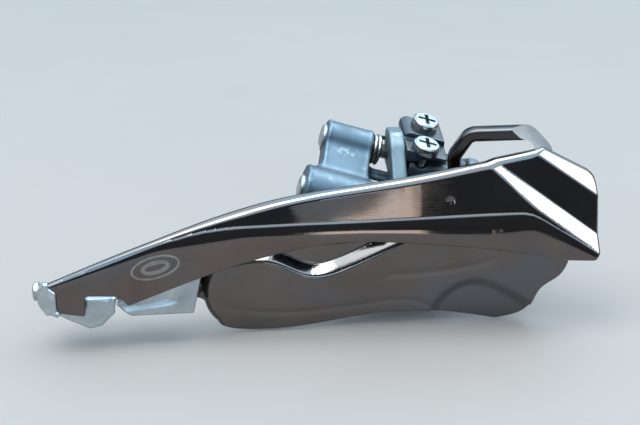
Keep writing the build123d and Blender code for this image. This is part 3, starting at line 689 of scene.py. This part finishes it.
# ------------------------------------------------------------------ castings and small turned parts
# node, body, voxel, pushes and smoothing passes
castings = [
    ("outer_link", "outer_link", 0.22, (2.1, -2.6, 0.5), 6),
    ("inner_link", "inner_link", 0.24, (1.0, -1.5, 0.5), 4),
    ("stop_block", "cage", 0.20, (), 12),
    ("cage_bracket", "cage", 0.24, (-0.6, 1.3, -0.7), 4),
    ("tail_bridge", "cage", 0.20, (-0.6, 0.6), 4),
    ("mount_body", "mount", 0.34, (1.2, -1.8, 0.6), 4),
    ("clamp_band", "mount", 0.34, (-0.6, 0.6), 3),
]
for node, body, voxel, pushes, passes in castings:
    cast_piece(node, body, finishes[node_slots[node]], voxel, pushes, passes)
edge_break = 0.14
small_parts = ["low_limit_screw", "high_limit_screw", "clamp_bolt", "cable_bolt", "clamp_washer",
               "cable_washer", "upper_outer_pin", "lower_outer_pin", "upper_inner_pin", "lower_inner_pin",
               "cage_pin_clips", "mount_pin_clip", "bracket_rivets", "clamp_hinge_pin", "tail_screw"]
for node in small_parts:
    broken_edges(node, edge_break)

# ------------------------------------------------------------------ tail insert
insert_rear = (-73.0, 7.2)
insert_y = -45.0
insert_depth = 6.3
insert_outline = closed_outline(
    [(-73.0, 9.8), (-69.5, 7.2), (-54.4, 7.2), (-52.4, 16.4), (-60.0, 16.4), (-67.1, 12.9)],
    step=0.25, softness=0.25)


def insert_face(x, z):
    """Front of the tail insert, with a scoop at its upper rear."""
    along = x - insert_rear[0]
    above = (z - insert_rear[1]) - 0.12 * along
    scoop = smooth(above, 0.6, 2.4) * (1 - smooth(x, -60.5, -56.5))
    return insert_y + scoop + 0.02 * along


insert_mesh = pressed_sheet("tail_insert_moulding", insert_outline, insert_face, insert_depth, edge=0.5,
                            spacing=0.4)
place("tail_insert_moulding", insert_mesh, "cage", pale_zinc, ["tail_insert"])

# ------------------------------------------------------------------ studio
floor_paint = Paint("studio_floor")
floor_tone = floor_paint.ramp(
    floor_paint.noise(180.0, 3.0), (0.3, (0.70, 0.665, 0.63)), (0.7, (0.74, 0.705, 0.67)))
floor_paint.finish(floor_tone, floor_paint.ramp(floor_paint.noise(25.0), (0.3, 0.55), (0.7, 0.65)))
bpy.ops.mesh.primitive_plane_add(size=8.0, location=(0, 0, cad_low.z - 0.0002))
floor = bpy.context.object
floor.name = "floor"
floor.data.materials.append(floor_paint.material)

world = bpy.data.worlds.new("studio")
bpy.context.scene.world = world
world.use_nodes = True
tree = world.node_tree
background = tree.nodes["Background"]
direction = tree.nodes.new("ShaderNodeTexCoord")
split = tree.nodes.new("ShaderNodeSeparateXYZ")
sky = tree.nodes.new("ShaderNodeValToRGB")
tree.links.new(direction.outputs["Generated"], split.inputs["Vector"])
tree.links.new(split.outputs["Z"], sky.inputs["Fac"])
# by the sine of the height above the horizon: dark up to 17 degrees, and light from 28 degrees
sky_stops = [(0.0, (0.030, 0.030, 0.034)), (0.30, (0.034, 0.038, 0.045)), (0.47, (0.52, 0.60, 0.70)),
             (1.0, (0.80, 0.88, 0.97))]
while len(sky.color_ramp.elements) < len(sky_stops):
    sky.color_ramp.elements.new(0.5)
for element, (position, colour) in zip(sky.color_ramp.elements, sky_stops):
    element.position = position
    element.color = (*colour, 1)
# polished parts see a brighter, bluer sky than the one that lights the floor
ray = tree.nodes.new("ShaderNodeLightPath")
blue = tree.nodes.new("ShaderNodeMix")
blue.data_type = "RGBA"
blue.blend_type = "MULTIPLY"
tree.links.new(ray.outputs["Is Glossy Ray"], blue.inputs["Factor"])
tree.links.new(sky.outputs["Color"], blue.inputs["A"])
blue.inputs["B"].default_value = (0.74, 0.93, 1.0, 1)
tree.links.new(blue.outputs["Result"], background.inputs["Color"])
strength = tree.nodes.new("ShaderNodeMapRange")
tree.links.new(ray.outputs["Is Glossy Ray"], strength.inputs["Value"])
strength.inputs["To Min"].default_value = 1.0
strength.inputs["To Max"].default_value = 4.2
tree.links.new(strength.outputs["Result"], background.inputs["Strength"])


def softbox(name, location, target, size, power, colour, diffuse=True):
    """Rectangular area light aimed at target, of that size in metres and power in watts."""
    light = bpy.data.lights.new(name, "AREA")
    light.shape = "RECTANGLE"
    light.size, light.size_y = size
    light.energy = power
    light.color = colour
    lamp = bpy.data.objects.new(name, light)
    bpy.context.scene.collection.objects.link(lamp)
    lamp.location = location
    lamp.rotation_euler = (Vector(target) - Vector(location)).to_track_quat("-Z", "Y").to_euler()
    lamp.visible_diffuse = diffuse
    lamp.visible_camera = False


# one plain key light, and three boxes that show only as reflections
middle = (cad_low + cad_high) / 2
softbox("key", (-0.35, -0.25, 0.75), middle, (0.5, 0.5), 1.8, (1.0, 0.98, 0.95))
softbox("overhead", (0.05, -0.08, 0.8), middle, (1.7, 0.32), 15.5, (0.95, 1.0, 1.0), diffuse=False)
softbox("nose_side", (0.62, -0.17, 0.41), middle, (0.22, 0.22), 1.3, (0.93, 1.0, 1.0), diffuse=False)
softbox("front_card", (0.25, -1.8, 0.06), middle, (0.26, 0.17), 0.45, (1.0, 0.96, 0.88), diffuse=False)

camera_lift, camera_turn, camera_view = 20, -5.4, 30
camera = bpy.data.objects.new("camera", bpy.data.cameras.new("camera"))
bpy.context.scene.collection.objects.link(camera)
camera.data.lens_unit = "FOV"
camera.data.angle = math.radians(camera_view)
camera.data.clip_start = 0.01
camera.location = (-0.0488, -0.3106, 0.1295)
camera.rotation_euler = (math.radians(90 - camera_lift), 0, math.radians(camera_turn))
bpy.context.scene.camera = camera
bpy.context.scene.view_settings.view_transform = "Standard"
